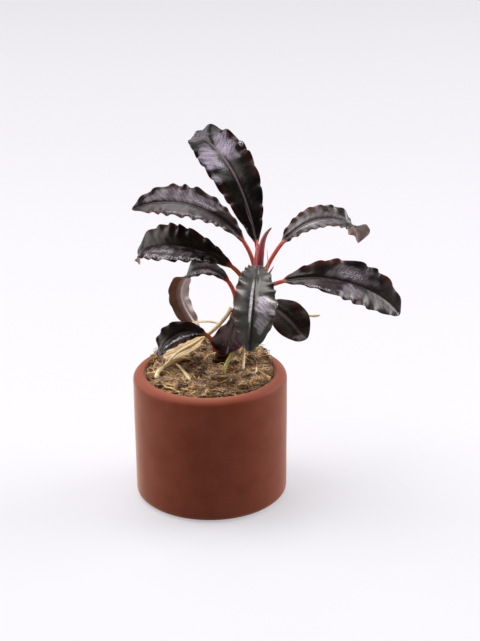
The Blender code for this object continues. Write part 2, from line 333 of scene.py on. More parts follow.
@dataclass(frozen=True)
class LeafSkin:
    """Living leaf: a waxy cuticle over almost black tissue, with painted silver sheen and painted glints,
    thin red-brown margins, a mauve-brown underside and an orange-red stalk."""

    name: str = "waxy_leaf_skin"
    face: str = "#130e0e"
    face_green: str = "#28291f"
    # painted sheen: the silver colour that stands in for reflections of the lamps on the cuticle
    painted_sheen: str = "#8e8287"
    sheen: str = "#f8ecec"
    margin: str = "#53281e"
    under: str = "#8a7672"
    under_brown: str = "#7f6860"
    under_rib: str = "#b09894"
    stalk: str = "#b04a38"
    rib: str = "#1c0f10"
    # painted glint: the near-white colour that stands in for highlights on wet spots
    painted_glint: str = "#e6e2e8"
    vein_mm: float = 2.4
    cell_mm: float = 0.45
    cloud_mm: float = 7.0
    rib_mm: Pair = (0.25, 0.7)
    streak: Triple = (0.3, 1.1, 1.0)
    gloss: float = 0.25
    specular: float = 0.42
    coat: float = 0.1

    def build(self) -> Material:
        """Return the material. It reads the leaf's skin (mm across, mm along, underside), tone (how near the
        margin, share of the blade, how far opened) and cast (painted sheen, brown, painted glint)."""
        made, tree, shader = plain_material(self.name)
        marks = [add(tree, "Attribute", attribute_name=name).outputs["Vector"] for name in ("skin", "tone",
            "cast")]
        skin = marks[0]
        parts, tone, cast = (add(tree, "SeparateXYZ", (mark,)).outputs for mark in marks)
        aside = add(tree, "Math", (parts["X"],), operation="ABSOLUTE")
        cloud = add(tree, "TexNoise", {"Vector": skin, "Scale": 1 / self.cloud_mm, "Detail": 4.0,
            "Roughness": 0.6})
        cells = add(tree, "TexNoise", {"Vector": skin, "Scale": 1 / self.cell_mm, "Roughness": 0.6})
        slant = add(tree, "Math", (aside, -0.75, parts["Y"]), operation="MULTIPLY_ADD")
        along = add(tree, "CombineXYZ", (slant,))
        veins = add(tree, "TexWave", {"Vector": along, "Scale": 1 / (self.vein_mm * WAVE_BANDS),
            "Distortion": 3.0, "Detail Scale": 0.5}).outputs["Fac"]
        green = add(tree, "MapRange", (cloud, 0.42, 0.62))
        flow = add(tree, "CombineXYZ", (parts["X"], slant))
        drawn = add(tree, "VectorMath", (flow, self.streak), operation="MULTIPLY")
        streaks = add(tree, "TexNoise", {"Vector": drawn, "Scale": 1.0, "Detail": 4.0, "Roughness": 0.65})
        mixed = add(tree, "Math", (streaks, 0.75), operation="MULTIPLY")
        grained = add(tree, "Math", (cells, 0.25, mixed), operation="MULTIPLY_ADD")
        speckle = add(tree, "MapRange", (grained, 0.36, 0.6, 0.15, 1.1))
        # Painted sheen: grained, streaked silver patches stand in for reflections of the lamps on the
        # cuticle
        painted_sheen = add(tree, "Math", (speckle, cast["X"]), operation="MULTIPLY", use_clamp=True)
        rib = add(tree, "MapRange", (aside, self.rib_mm[0], self.rib_mm[1], 0.85, 0.0))
        rim = add(tree, "MapRange", (tone["X"], 0.62, 0.9))
        brown = add(tree, "Math", (rim, cast["Y"]), operation="MULTIPLY", use_clamp=True)
        one_side = add(tree, "MapRange", (parts["X"], -0.8, -1.6))
        # Painted glints: near-white flecks stand in for highlights on wet spots
        flecks = add(tree, "MapRange", (cells, 0.47, 0.56))
        glints = add(tree, "Math", (flecks, cast["Z"]), operation="MULTIPLY", use_clamp=True)
        sides = [self.face, self.under]
        layers = ((0, green, self.face_green), (0, painted_sheen, self.painted_sheen), (0, rib, self.rib),
            (0, brown, self.margin), (0, glints, self.painted_glint), (1, one_side, self.under_brown),
            (1, rib, self.under_rib))
        for side, share, colour in layers:
            sides[side] = add(tree, "Mix", {FACTOR: share, COLOUR_A: sides[side], COLOUR_B: colour},
                data_type="RGBA")
        upper, lower = sides
        streaked = add(tree, "Mix", {FACTOR: veins, COLOUR_A: lower, COLOUR_B: self.margin},
            data_type="RGBA")
        faint = add(tree, "Mix", {FACTOR: 0.13, COLOUR_A: lower, COLOUR_B: streaked}, data_type="RGBA")
        blade = add(tree, "Mix", {FACTOR: parts["Z"], COLOUR_A: upper, COLOUR_B: faint}, data_type="RGBA")
        whole = add(tree, "Mix", {FACTOR: tone["Z"], COLOUR_A: self.stalk, COLOUR_B: blade},
            data_type="RGBA")
        shine = add(tree, "MapRange", (cloud, 0.3, 0.7, self.gloss, self.gloss + 0.14))
        height = add(tree, "Math", (veins, 0.5, cells), operation="MULTIPLY_ADD")
        bump = add(tree, "Bump", {"Height": height, "Strength": 0.4, "Distance": 0.07 * MM})
        feed(tree, shader, {"Base Color": whole, "Roughness": shine, "Normal": bump, "IOR": 1.45,
            "Specular IOR Level": self.specular, "Specular Tint": self.sheen, "Coat Weight": self.coat,
            "Coat Roughness": 0.1})
        return made


class Look(Enum):
    """Which cuticle a leaf has."""

    GLOSSY = LeafSkin()
    CURLED = LeafSkin("curled_leaf_skin", under_brown="#6a452e")
    DARK = LeafSkin("dark_leaf_skin", face="#100a09", face_green="#1c1913", sheen="#f0dcd4",
        margin="#3c1c16", gloss=0.2, specular=0.12, coat=0.0, stalk="#8f4a30")
    # Its pale mauve rib colour is a painted highlight along the midrib
    BLACK = LeafSkin("black_leaf_skin", face="#0b0809", face_green="#171711", painted_sheen="#95889a",
        rib="#64535a", margin="#35160f", rib_mm=(0.1, 0.42), gloss=0.18, specular=0.2, coat=0.0)
    SATIN = LeafSkin("satin_leaf_skin", face="#171010", face_green="#2c2623", painted_sheen="#9d919b", gloss=0.24,
        specular=0.34, coat=0.0)
    # Painted sheen: a lighter face and pale silver stand in for the top light that the front leaf reflects
    PALE = LeafSkin("sheen_painted_leaf_skin", face="#262323", face_green="#3a3d34", painted_sheen="#cdc1ca",
        gloss=0.22, specular=0.5)
    MAROON = LeafSkin("maroon_leaf_skin", face="#0c0203", face_green="#1d0d12", painted_sheen="#54404c",
        sheen="#e0b8ae", margin="#2a0a09", gloss=0.2, specular=0.16, coat=0.0, stalk="#8f4a30")


@dataclass(frozen=True)
class DryTissue:
    """A dead leaf: papery and beige, lined by its veins, and light comes through."""

    name: str = "dry_leaf_tissue"
    pale: str = "#dfca9e"
    buff: str = "#a9885a"
    line_mm: float = 0.8

    def build(self) -> Material:
        """Return the material, patterned along the leaf's own skin."""
        made, tree, shader = plain_material(self.name)
        skin = add(tree, "Attribute", attribute_name="skin").outputs["Vector"]
        lines = add(tree, "TexWave", {"Vector": skin, "Scale": 1 / (self.line_mm * WAVE_BANDS),
            "Distortion": 2.0, "Detail": 3.0, "Detail Scale": 0.3}).outputs["Fac"]
        stains = add(tree, "TexNoise", {"Vector": skin, "Scale": 0.35, "Detail": 4.0, "Roughness": 0.65})
        mixed = add(tree, "Math", (lines, 0.35, stains), operation="MULTIPLY_ADD")
        shade = add(tree, "MapRange", (mixed, 0.45, 0.95))
        colour = add(tree, "Mix", {FACTOR: shade, COLOUR_A: self.pale, COLOUR_B: self.buff},
            data_type="RGBA")
        bump = add(tree, "Bump", {"Height": lines, "Strength": 0.6, "Distance": 0.08 * MM})
        feed(tree, shader, {"Base Color": colour, "Normal": bump, "Roughness": 0.5,
            "Subsurface Weight": 0.35, "Subsurface Scale": 1.0 * MM})
        return made


@dataclass(frozen=True)
class StemTissue:
    """A young shoot or a root: smooth wet tissue whose colour runs from one end to the other."""

    name: str
    start: str
    middle: str
    end: str
    roughness: float = 0.35

    def build(self) -> Material:
        """Return the material, shaded by the share of the way along and by fine mottling."""
        made, tree, shader = plain_material(self.name)
        way = add(tree, "Attribute", attribute_name="along").outputs["Fac"]
        where = add(tree, "TexCoord").outputs["Object"]
        mottle = add(tree, "TexNoise", {"Vector": where, "Scale": 1 / (0.7 * MM), "Detail": 3.0})
        first = add(tree, "MapRange", (way, 0.0, 0.5))
        second = add(tree, "MapRange", (way, 0.5))
        low = add(tree, "Mix", {FACTOR: first, COLOUR_A: self.start, COLOUR_B: self.middle},
            data_type="RGBA")
        high = add(tree, "Mix", {FACTOR: second, COLOUR_A: low, COLOUR_B: self.end}, data_type="RGBA")
        depth = add(tree, "MapRange", (mottle, 0.3, 0.7, 0.7, 1.15))
        colour = add(tree, "Mix", {FACTOR: 1.0, COLOUR_A: high, COLOUR_B: depth}, data_type="RGBA",
            blend_type="MULTIPLY")
        bump = add(tree, "Bump", {"Height": mottle, "Strength": 0.3, "Distance": 0.06 * MM})
        feed(tree, shader, {"Base Color": colour, "Normal": bump, "Roughness": self.roughness,
            "Subsurface Weight": 0.2, "Subsurface Scale": 0.6 * MM})
        return made


@dataclass(frozen=True)
class RhizomeBark:
    """The creeping stem's skin: dark, ringed by old leaf scars, damp in places and brown on its ridges."""

    dark: str = "#170705"
    ridge: str = "#4c2411"
    damp: str = "#e8b080"
    scar_mm: float = 1.6

    def build(self) -> Material:
        """Return the material, ringed by height and mottled on Object coordinates."""
        made, tree, shader = plain_material("rhizome_bark")
        where = add(tree, "TexCoord").outputs["Object"]
        rough = add(tree, "TexNoise", {"Vector": where, "Scale": 1 / (0.9 * MM), "Detail": 5.0,
            "Roughness": 0.65})
        scars = add(tree, "TexWave", {"Vector": where, "Distortion": 4.0, "Detail": 3.0,
            "Scale": 1 / (self.scar_mm * MM * WAVE_BANDS), "Detail Scale": 0.5},
            bands_direction="Z").outputs["Fac"]
        lifted = add(tree, "Math", (rough, scars), operation="MULTIPLY")
        shade = add(tree, "MapRange", (lifted, 0.2, 0.55))
        colour = add(tree, "Mix", {FACTOR: shade, COLOUR_A: self.dark, COLOUR_B: self.ridge},
            data_type="RGBA")
        bump = add(tree, "Bump", {"Height": lifted, "Strength": 0.8, "Distance": 0.2 * MM})
        feed(tree, shader, {"Base Color": colour, "Normal": bump, "Roughness": 0.36,
            "Specular IOR Level": 0.2, "Specular Tint": self.damp})
        return made


@dataclass
class Pot:
    """The turned terracotta pot; sizes in millimetres."""

    top_radius: float = 25.0
    foot_radius: float = 24.8
    height: float = 42.5
    wall: float = 4.1
    floor: float = 5.0
    outer_fillet: float = 2.4
    inner_fillet: float = 1.0
    foot_fillet: float = 2.4
    sides: int = 220
    wobble: float = 0.05
    axis_gap: float = 0.05

    def arc(self, centre: Pair, radius: float, start: float, end: float) -> list:
        """Points (radius, height) round a quarter turn from start to end, in degrees."""
        angles = np.radians(np.linspace(start, end, 9))
        return [(centre[0] + radius * cos(a), centre[1] + radius * sin(a)) for a in angles]

    def profile(self) -> list[Pair]:
        """The section from the inner floor's middle over the rim to the underside's middle."""
        inner = self.top_radius - self.wall
        rim = self.arc((inner + self.inner_fillet, self.height - self.inner_fillet), self.inner_fillet, 180,
            90)
        lip = self.arc((self.top_radius - self.outer_fillet, self.height - self.outer_fillet),
            self.outer_fillet, 90, 0)
        foot = self.arc((self.foot_radius - self.foot_fillet, self.foot_fillet), self.foot_fillet, 0, -90)
        wall = [(self.top_radius + (self.foot_radius - self.top_radius) * s,
            lip[-1][1] + (foot[0][1] - lip[-1][1]) * s) for s in np.linspace(0, 1, 14)[1:-1]]
        return [(self.axis_gap, self.floor),
            (inner, self.floor)] + rim + lip + wall + foot + [(self.axis_gap, 0.0)]

    def build(self) -> Object:
        """Return the pot, a little uneven as a hand-finished one is."""
        turns = np.linspace(0, 2 * pi, self.sides, endpoint=False)
        rows = []
        for radius, height in self.profile():
            for turn in turns:
                flat = Vector((cos(turn) * 1.3, sin(turn) * 1.3, height * 0.06))
                off = self.wobble * noise.noise(flat * 1.5) if 1 < height < self.height - 0.05 else 0.0
                rows.append(((radius + off) * cos(turn), (radius + off) * sin(turn), height))
        faces = [tuple(reversed(face)) for face in tube_faces(len(self.profile()), self.sides)]
        return settle(mesh_object("terracotta_pot", np.array(rows), faces, FiredClay().build()),
            Slot.TERRACOTTA, ("pot",))


@dataclass
class Wool:
    """The plug of wool with its matted fibres; sizes in millimetres."""

    radius: float = 20.6
    edge: float = 40.8
    crown: float = 1.2
    back_rise: float = 2.6
    back_start: float = 3.0
    mound: tuple[float, float, float, float] = (14.0, 9.0, 1.8, 4.0)
    base: float = 5.3
    shoulder: float = 3.0
    rim_top: float = 42.5
    over_rim: float = 0.25
    lump: float = 1.7
    overhang: float = 1.5
    sunk: float = 1.8
    edge_share: float = 0.86
    behind: Pair = (4.0, 12.0)
    packing: float = 0.95
    rings: int = 56
    sides: int = 180

    def top(self, x: float, y: float) -> float:
        """Height of the wool's top at a place, before its lumps."""
        away = (x * x + y * y) / self.radius ** 2
        at_x, at_y, high, spread = self.mound
        mound = high * exp(-((x - at_x) ** 2 + (y - at_y) ** 2) / (2 * spread ** 2))
        back = self.back_rise * (max(0.0, y - self.back_start) / (self.radius - self.back_start)) ** 1.5
        return self.edge + self.crown * (1 - away) + mound + back

    def lumps(self, x: float, y: float) -> float:
        """Height that tufts and hollows add to the top."""
        coarse = noise.noise(Vector((x * 0.2, y * 0.2, 3.1)))
        fine = noise.noise(Vector((x * 0.5, y * 0.5, 8.4)))
        tufts = abs(noise.noise(Vector((x * 0.8, y * 0.8, 5.2)))) - 0.2
        return self.lump * (coarse + 0.8 * fine - 0.9 * tufts)

    def build_plug(self) -> Object:
        """Return the plug: a straight side and a lumpy top that drops away at its edge."""
        rows = []
        turns = np.linspace(0, 2 * pi, self.sides, endpoint=False)
        for height in (self.base, self.edge - self.shoulder):
            rows += [(self.radius * cos(a), self.radius * sin(a), height) for a in turns]
        for share in np.linspace(1, 0.004, self.rings):
            for a in turns:
                x, y = self.radius * share * cos(a), self.radius * share * sin(a)
                outer = max(0.0, (share - self.edge_share) / (1 - self.edge_share))
                start, end = self.behind
                behind = held((y - start) / (end - start))
                out = 1 + self.overhang * behind * outer / self.radius
                sunk = self.top(x, y) + self.lumps(x, y) - self.sunk * outer ** 2 * (1 - behind)
                over = self.rim_top + self.over_rim + 0.3 * abs(self.lumps(x, y))
                rows.append((x * out, y * out, max(sunk, over) if behind * outer > 0.5 else sunk))
        faces = tube_faces(self.rings + 2, self.sides)
        piece = settle(mesh_object("wool_ground", np.array(rows), faces, PackedWool().build()), Slot.WOOL,
            ("wool_plug",))
        return piece


@dataclass(frozen=True)
class FibreMat:
    """One kind of fibre matted over the wool; sizes in millimetres."""

    name: str
    finish: WoolFibre
    count: int
    length: float
    thickness: float
    curl: float
    lift: float
    seed: int
    bend_mm: float = 4.2
    lock_mm: float = 6.0
    stray: float = 0.3
    apart: float = 0.45
    flatness: float = 0.72
    turns: float = 14.0
    tilt: float = 0.2
    lengths: Pair = (0.45, 1.35)
    tip: Pair = (0.2, 0.15)
    points: int = 8
    sides: int = 3
    inside: Pair = (20.4, 22.6)
    behind: Pair = (4.0, 12.0)

    def tree(self) -> NodeTree:
        """Return the node tree that lays curled fibres on a surface, each with its own shade."""
        numbers = dict.fromkeys(("Density", "Length", "Thickness", "Curl", "Lift", "Flow"), "Float")
        made, given = start_layout(self.name + "_layout", {"Surface": "Geometry", **numbers, "Seed": "Int",
            "Fibre": "Material"}, "Fibres")
        facing = add(made, "SeparateXYZ", (add(made, "GeometryNodeInputNormal"),)).outputs
        upward = add(made, "FunctionNodeCompare", (facing["Z"], self.flatness), operation="GREATER_THAN")
        spots = add(made, "GeometryNodeDistributePointsOnFaces", {"Mesh": given["Surface"],
            "Selection": upward, "Density": given["Density"], "Seed": given["Seed"]})
        place = add(made, "GeometryNodeInputPosition")
        lie = add(made, "TexNoise", {"Vector": place, "W": given["Flow"], "Scale": 1 / (self.lock_mm * MM),
            "Detail": 1.0}, noise_dimensions="4D")
        stray = add(made, "FunctionNodeRandomValue", {2: -self.stray, 3: self.stray, "Seed": given["Seed"]})
        yaw = add(made, "Math", (lie, self.turns, stray), operation="MULTIPLY_ADD")
        tilt = add(made, "FunctionNodeRandomValue", {2: -self.tilt, 3: self.tilt, "Seed": 7})
        turn = add(made, "CombineXYZ", (0.0, tilt, yaw))
        turned = add(made, "FunctionNodeEulerToRotation", {"Euler": turn})
        line = add(made, "GeometryNodeCurvePrimitiveLine", {"Start": (-0.5, 0, 0), "End": (0.5, 0, 0)})
        fine = add(made, "GeometryNodeResampleCurve", {"Curve": line, "Count": self.points})
        size = add(made, "FunctionNodeRandomValue", {2: self.lengths[0], 3: self.lengths[1], "Seed": 11})
        long = add(made, "Math", (size, given["Length"]), operation="MULTIPLY")
        laid = add(made, "GeometryNodeInstanceOnPoints", {"Points": spots, "Instance": fine,
            "Rotation": turned, "Scale": long})
        shade = add(made, "FunctionNodeRandomValue", {"Seed": 23})
        shaded = add(made, "GeometryNodeStoreNamedAttribute", {"Geometry": laid, "Name": "shade",
            "Value": shade}, domain="INSTANCE")
        real = add(made, "GeometryNodeRealizeInstances", (shaded,))
        where = add(made, "GeometryNodeInputPosition")
        own = add(made, "GeometryNodeInputNamedAttribute", {"Name": "shade"})
        apart = add(made, "Math", (own, self.apart), operation="MULTIPLY")
        drift = add(made, "TexNoise", {"Vector": where, "W": apart, "Scale": 1 / (self.bend_mm * MM),
            "Detail": 1.0}, noise_dimensions="4D")
        centred = add(made, "VectorMath", (drift.outputs["Color"], (0.5, 0.5, 0.42)), operation="SUBTRACT")
        curled = add(made, "VectorMath", {0: centred, "Scale": given["Curl"]}, operation="SCALE")
        raised = add(made, "CombineXYZ", (0.0, 0.0, given["Lift"]))
        offset = add(made, "VectorMath", (curled, raised), operation="ADD")
        bent = add(made, "GeometryNodeSetPosition", {"Geometry": real, "Offset": offset})
        spread = add(made, "GeometryNodeInputPosition")
        parted = add(made, "SeparateXYZ", (spread,)).outputs
        level = add(made, "CombineXYZ", (parted["X"], parted["Y"]))
        away = add(made, "VectorMath", (level,), operation="LENGTH")
        limit = add(made, "MapRange", (parted["Y"], self.behind[0] * MM, self.behind[1] * MM,
            self.inside[0] * MM, self.inside[1] * MM))
        share = add(made, "Math", (limit, away), operation="DIVIDE")
        kept = add(made, "Math", (share, 1.0), operation="MINIMUM")
        squeeze = add(made, "CombineXYZ", (kept, kept, 1.0))
        inward = add(made, "VectorMath", (spread, squeeze), operation="MULTIPLY")
        packed = add(made, "GeometryNodeSetPosition", {"Geometry": bent, "Position": inward})
        way = add(made, "GeometryNodeSplineParameter").outputs
        middle = add(made, "Math", (way["Factor"], 0.5), operation="SUBTRACT")
        outer = add(made, "Math", (middle,), operation="ABSOLUTE")
        thin = add(made, "MapRange", (outer, self.tip[0], 0.5, 1.0, self.tip[1]))
        thick = add(made, "Math", (thin, given["Thickness"]), operation="MULTIPLY")
        ring = add(made, "GeometryNodeCurvePrimitiveCircle", {"Resolution": self.sides})
        tube = add(made, "GeometryNodeCurveToMesh", {"Curve": packed, "Profile Curve": ring, "Scale": thick,
            "Fill Caps": True})
        end_layout(made, tube, given["Fibre"], "Fibres")
        return made

    def build(self, surface: Object, area: float) -> Object:
        """Lay the fibres on a surface.

        Args:
            surface: the mesh that they lie on.
            area: its area in square metres.

        Returns:
            The fibres as one mesh piece.
        """
        values = {"Density": self.count / area, "Length": self.length * MM,
            "Thickness": self.thickness * MM, "Curl": self.curl * MM, "Lift": self.lift * MM,
            "Flow": self.seed * 1.7, "Seed": self.seed, "Fibre": self.finish.build()}
        return settle(grown(self.name, surface.data, self.tree(), values), Slot.WOOL)


def start_layout(name: str, inputs: dict[str, str], output: str) -> tuple[NodeTree, bpy_prop_collection]:
    """Start a Geometry Nodes tree.

    Args:
        name: the tree's name.
        inputs: the kind of each input, by its name.
        output: the name of the geometry that comes out.

    Returns:
        The tree and the sockets of its inputs.
    """
    made = bpy.data.node_groups.new(name, "GeometryNodeTree")
    for label, kind in inputs.items():
        made.interface.new_socket(label, in_out="INPUT", socket_type="NodeSocket" + kind)
    made.interface.new_socket(output, in_out="OUTPUT", socket_type="NodeSocketGeometry")
    return made, add(made, "NodeGroupInput").outputs


def end_layout(made: NodeTree, tube: Node, finish: NodeSocket, output: str) -> None:
    """Smooth a tree's tubes, make them real, give them their finish and put them out.

    Args:
        made: the tree.
        tube: the node that makes the tubes.
        finish: the input that holds their finish.
        output: the name of the tree's output.
    """
    smooth = add(made, "GeometryNodeSetShadeSmooth", (tube,))
    whole = add(made, "GeometryNodeRealizeInstances", (smooth,))
    dressed = add(made, "GeometryNodeSetMaterial", {"Geometry": whole, "Material": finish})
    add(made, "NodeGroupOutput", {output: dressed})


def grown(name: str, data: ID, tree: NodeTree, values: dict) -> Object:
    """Run a node tree on a mesh or a curve and keep the result as a plain mesh piece.

    Args:
        name: the piece's name.
        data: what the tree starts from.
        tree: the Geometry Nodes tree.
        values: a value for each of its named inputs.

    Returns:
        The piece, linked to the scene.
    """
    holder = linked(name + "_holder", data)
    modifier = holder.modifiers.new("grow", "NODES")
    modifier.node_group = tree
    for item in tree.interface.items_tree:
        if item.item_type == "SOCKET" and item.in_out == "INPUT" and item.name in values:
            modifier[item.identifier] = values[item.name]
    evaluated = holder.evaluated_get(bpy.context.evaluated_depsgraph_get())
    mesh = bpy.data.meshes.new_from_object(evaluated)
    holder.modifiers.remove(modifier)
    bpy.data.objects.remove(holder)
    mesh.name = name
    return linked(name, mesh)


@dataclass
class Rhizome:
    """The creeping stem, bent up to its growing end; sizes in millimetres."""

    bend: tuple = ((3.0, 3.0, 43.0), (8.5, 4.0, 61.0), (16.0, 5.0, 75.0))
    radii: Pair = (2.4, 1.7)
    length: float = 36.0
    scar_spacing: float = 2.6
    tip_start: float = 0.97
    tip_share: float = 0.06
    sides: int = 48
    rings: int = 150

    def place(self, share: float) -> Vector:
        """Place on the centre line at a share of the way up."""
        foot, knee, end = (Vector(point) for point in self.bend)
        return foot * (1 - share) ** 2 + knee * 2 * share * (1 - share) + end * share ** 2

    def radius(self, share: float) -> float:
        """Radius at a share of the way up."""
        return self.radii[0] + (self.radii[1] - self.radii[0]) * share

    def build(self) -> Object:
        """Return the stem, swollen between its leaf scars and rounded at its growing end."""
        rows = []
        for share in np.linspace(-0.03, 1.03, self.rings):
            spot, ahead = self.place(share), self.place(share + 0.01)
            along = (ahead - spot).normalized()
            right = along.cross(Vector((0, 1, 0))).normalized()
            out = along.cross(right)
            travelled = share * self.length / self.scar_spacing
            swell = 1.0 + 0.07 * abs(sin(pi * travelled)) - 0.04
            ended = sqrt(max(0.02, 1 - max(0.0, (share - self.tip_start) / self.tip_share) ** 2))
            for i in range(self.sides):
                turn = 2 * pi * i / self.sides
                way = right * cos(turn) + out * sin(turn)
                knobs = 1 + 0.10 * noise.noise(spot * 0.5 + way * 1.2) + 0.05 * noise.noise(spot + way * 4)
                rows.append(spot + way * (self.radius(share) * swell * knobs * ended))
        return settle(mesh_object("rhizome_stem", np.array([tuple(p) for p in rows]),
            tube_faces(self.rings, self.sides), RhizomeBark().build()), Slot.RHIZOME, ("rhizome",))


@dataclass
class Leaf:
    """One leaf with its stalk; lengths in millimetres, angles in degrees.

    The sizes down to rise are those of its solid. The rest are what a fine skin adds: the ruffles of
    its margin, the dents between its veins and where it carries painted sheen, brown or painted glints.
    """

    name: str
    joins: float
    springs: float
    heading: float
    climb: float
    arch: float
    bend: float
    sweep: float
    hook: float
    petiole: float
    blade: float
    width: float
    roll: Pair
    broadest: float
    taper: float = 0.75
    stalk: float = 0.7
    wave: float = 0.9
    rise: float = 15.0
    ruffle_mm: float = 4.8
    ragged: float = 0.06
    dent_mm: float = 6.0
    dent: float = 0.22
    twist: float = 0.0
    twist_from: float = 0.7
    bulge: Triple = (0.5, 0.2, 0.0)
    # Patches of painted sheen and of painted glints, each (share of the blade, place across, length, width,
    # strength)
    painted_sheen: tuple = ()
    painted_glint: tuple = ()
    look: Look = Look.GLOSSY
    brown: float = 0.8
    thickness: float = 0.42
    seed: float = 0.0
    rings: int = 190
    columns: int = 41
    hook_start: float = 0.75
    opening: float = 1.5
    gap: float = 0.3
    flare: Pair = (0.35, 1.6)
    swing: Pair = (0.35, 6.3)
    keel: float = 0.3
    edge_mm: float = 1.2

    def slope(self, share: float) -> Pair:
        """Slope and heading in radians at a share of the whole leaf."""
        length = self.petiole + self.blade
        blade_share = (share * length - self.petiole) / self.blade
        hooked = held((blade_share - self.hook_start) / (1 - self.hook_start))
        slope = self.climb - self.arch * share ** self.bend - self.hook * hooked * (1 + hooked) / 2
        return radians(slope), radians(self.heading + self.sweep * share)

    def frame(self, share: float) -> tuple[Vector, Vector, Vector]:
        """Direction along the leaf, to its right and out of its face, before any roll."""
        slope, heading = self.slope(share)
        level = cos(slope)
        along = Vector((level * cos(heading), level * sin(heading), sin(slope)))
        right = Vector((sin(heading), -cos(heading), 0.0))
        return along, right, right.cross(along)

    def spots(self, stem: Rhizome, shares: np.ndarray) -> list[Vector]:
        """Places of the midrib at each share, summed from the foot on the stem's side."""
        side = radians(self.springs)
        reach = stem.radius(self.joins) + self.stalk + self.gap
        spot = stem.place(self.joins) + Vector((cos(side), sin(side), 0.0)) * reach
        length = self.petiole + self.blade
        places = [spot.copy()]
        for start, end in zip(shares, shares[1:]):
            steps = max(1, round((end - start) * length / 0.25))
            for i in range(steps):
                middle = start + (end - start) * (i + 0.5) / steps
                spot = spot + self.frame(middle)[0] * ((end - start) * length / steps)
            places.append(spot.copy())
        return places

    def half_width(self, t: float) -> float:
        """Half the blade's width at a share of the blade, before its ruffles."""
        at, spread, more = self.bulge
        swell = 1 + more * exp(-((t - at) / spread) ** 2)
        return self.width / 2 * swell * sin(pi * held(t) ** self.broadest) ** self.taper

    def turned(self, t: float) -> float:
        """How far the blade is rolled about its midrib at a share of the blade, in radians."""
        t = max(t, 0.0)
        late = held((t - self.twist_from) / 0.2)
        twist = self.twist * late * late * (3 - 2 * late)
        return radians(self.roll[0] + (self.roll[1] - self.roll[0]) * t + twist)

    def phase(self, t: float, side: float) -> float:
        """Where the margin's ruffle stands at a share of the blade; the spacing drifts as in a real leaf."""
        mm = t * self.blade
        drift = 0.9 * sin(mm / 2.9 + self.seed + side) + 0.6 * sin(mm / 1.7 + 2.1 * self.seed - side)
        return 2 * pi * (mm / self.ruffle_mm + (0.25 if side > 0 else 0.0)) + drift

    def cast(self, t: float, v: float) -> Triple:
        """How much painted sheen, how brown and how much painted glint the skin has at a place on the blade.
        """
        edge = 0.6 * noise.noise(Vector((v * 3.2 + self.seed, t * 17.0, self.seed * 3)))
        found = []
        for patches in (self.painted_sheen, self.painted_glint):
            found.append(0.0)
            for at_t, at_v, long, wide, strength in patches:
                away = hypot((t - at_t) / long, (v - at_v) / wide) + edge
                found[-1] = max(found[-1], strength * held((1.15 - away) / 0.3))
        brown = self.brown * held(0.3 + 1.8 * noise.noise(Vector((v * 2, t * 8, self.seed))))
        return found[0], brown, found[1]

    def midrib(self, a: float, t: float, under: bool) -> float:
        """Shape the midrib: a groove with raised lips in the face, a ridge underneath.

        Args:
            a: how far beside the midrib, in millimetres.
            t: share of the blade.
            under: whether the place is on the underside.

        Returns:
            How far the skin lies below the blade there, in millimetres.
        """
        if under:
            return 0.5 * (1 - 0.6 * t) * exp(-(a / 0.5) ** 2)
        lips = 0.1 * exp(-((abs(a) - 1.0) / 0.5) ** 2)
        return (0.3 * exp(-(a / 0.42) ** 2) - lips) * (1 - 0.5 * t)

    def ring(self, spot: Vector, share: float, t: float) -> tuple[list, list, list, list]:
        """One closed section round the leaf.

        Args:
            spot: the midrib's place.
            share: share of the whole leaf.
            t: share of the blade, under 0 on the stalk.

        Returns:
            Points, skin, tone and cast, from the left margin over the face and back underneath.
        """
        _, right, up = self.frame(share)
        roll = self.turned(t)
        side = right * cos(roll) + up * sin(roll)
        out = up * cos(roll) - right * sin(roll)
        wide = self.half_width(t) if t > 0 else 0.0
        opened = held((wide - self.stalk * 0.6) / self.opening)
        flattened = opened if t < 0.5 else 1.0
        thin = min(1.0, wide / self.edge_mm + 0.1) if t > 0.5 else 1.0
        mm = share * (self.petiole + self.blade)
        foot = 1 + self.flare[0] * exp(-mm / self.flare[1])
        swing = 0.75 + self.swing[0] * sin(t * self.blade / self.swing[1] + self.seed * 1.7)
        half = max(wide, self.stalk * foot * (1 - flattened))
        points, skin, tone, cast = [], [], [], []
        count = 2 * self.columns - 2
        for k in range(count):
            under = k >= self.columns
            u = k if not under else count - k
            # v runs from -1 at the left margin over 0 at the midrib to 1, with more points near the margins
            v = sin(pi / 2 * (2 * u / (self.columns - 1) - 1))
            phase = self.phase(t, v)
            lobe = self.ragged * opened * (abs(cos(phase / 2)) ** 0.7 - 0.55) * abs(v) ** 3
            a = v * half * (1 + lobe)
            # The margin ruffles, the face rises to both sides, and it is dented between its veins
            waved = self.wave * swing * opened * abs(v) ** 3.4 * sin(phase)
            risen = opened * (sqrt(a * a + self.keel) - sqrt(self.keel)) * tan(radians(self.rise))
            quilt = noise.noise(Vector((a, mm - 0.5 * abs(a), self.seed * self.dent_mm)) / self.dent_mm)
            dented = 2.0 * self.dent * opened * quilt * min(1.0, abs(a) / self.edge_mm)
            body = thin * self.thickness * sqrt(max(0.0, 1 - v ** 8)) * (1 - 0.45 * abs(v)) / 2
            flat = (-body if under else body) - thin * self.midrib(a, max(t, 0.0), under)
            # The stalk is a rod with a flatter top, which opens into the blade
            bowl = self.stalk * foot * sqrt(max(0.0, 1 - v * v)) * (-1 if under else 0.8)
            high = (1 - flattened) * bowl + flattened * flat + waved + risen + dented
            points.append(spot + side * a + out * high)
            painted_sheen, brown, painted_glint = self.cast(max(t, 0.0), v)
            skin.append((a, mm, 1.0 if under and abs(v) < 0.985 else 0.0))
            tone.append((abs(v), max(t, 0.0), min(1.0, flattened * 1.6)))
            cast.append((painted_sheen * opened, brown, painted_glint * opened))
        return points, skin, tone, cast

